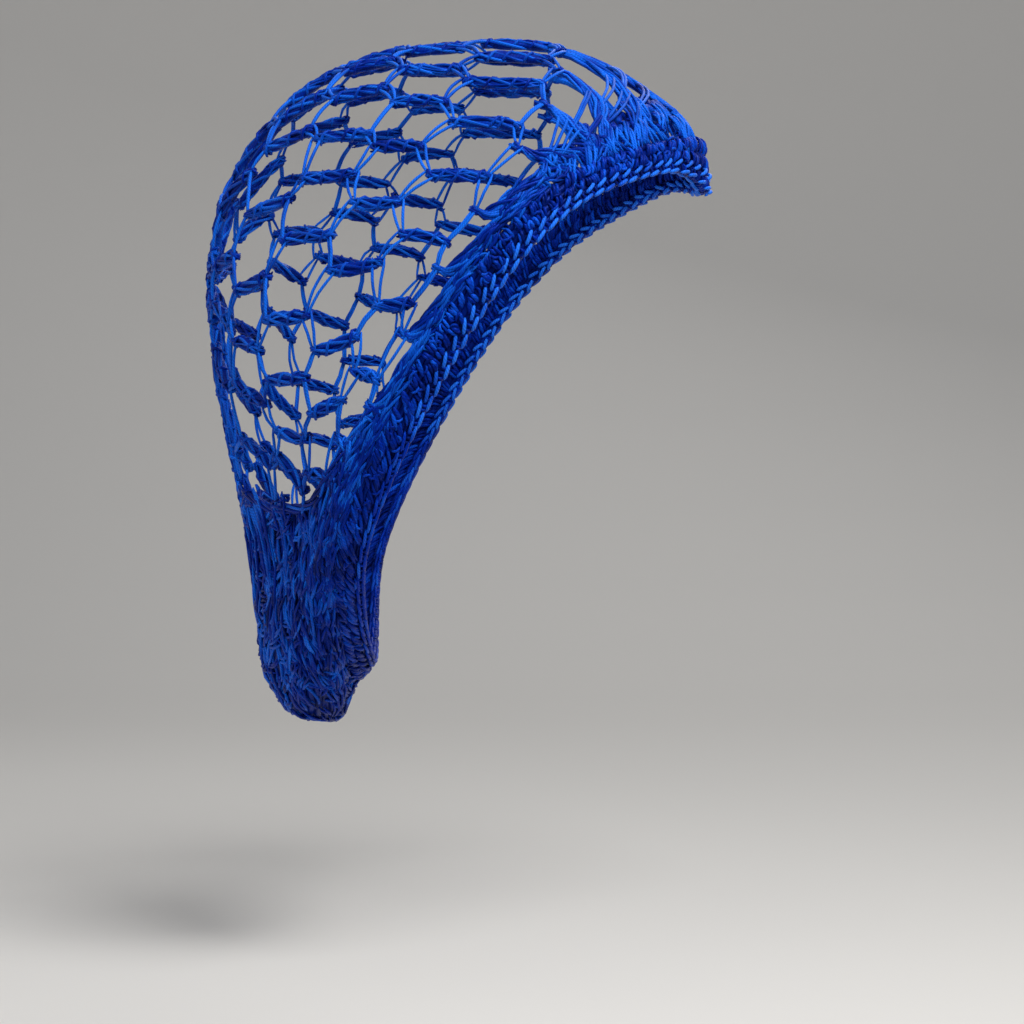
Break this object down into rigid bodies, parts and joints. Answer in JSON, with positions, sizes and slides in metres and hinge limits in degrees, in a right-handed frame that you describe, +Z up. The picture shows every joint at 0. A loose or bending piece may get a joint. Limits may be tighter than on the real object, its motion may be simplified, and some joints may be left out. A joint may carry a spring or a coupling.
{
  "type": "crochet hair snood",
  "caption": "Worn crochet hair snood: an open honeycomb yarn net that bags the hair, hung from a dense band round face and nape with a chain edge.",
  "frame": {"origin": "where the crown of a head touches the inside of the net, on its inner skin", "axes": "+Z is up as worn, +X points to the forehead, +Y to the wearer's left side"},
  "size_m": [0.1813, 0.1566, 0.2457],
  "materials": {
    "net_yarn": "royal blue rayon crochet yarn, smooth, glossy and lightly twisted",
    "band_yarn": "royal blue rayon yarn in dense single crochet",
    "edge_yarn": "royal blue rayon yarn in a chain edge"
  },
  "bodies": {
    "root": {"net_bag": "net_yarn", "brim_band": "band_yarn", "edge_chain": "edge_yarn"}
  },
  "joints": []
}
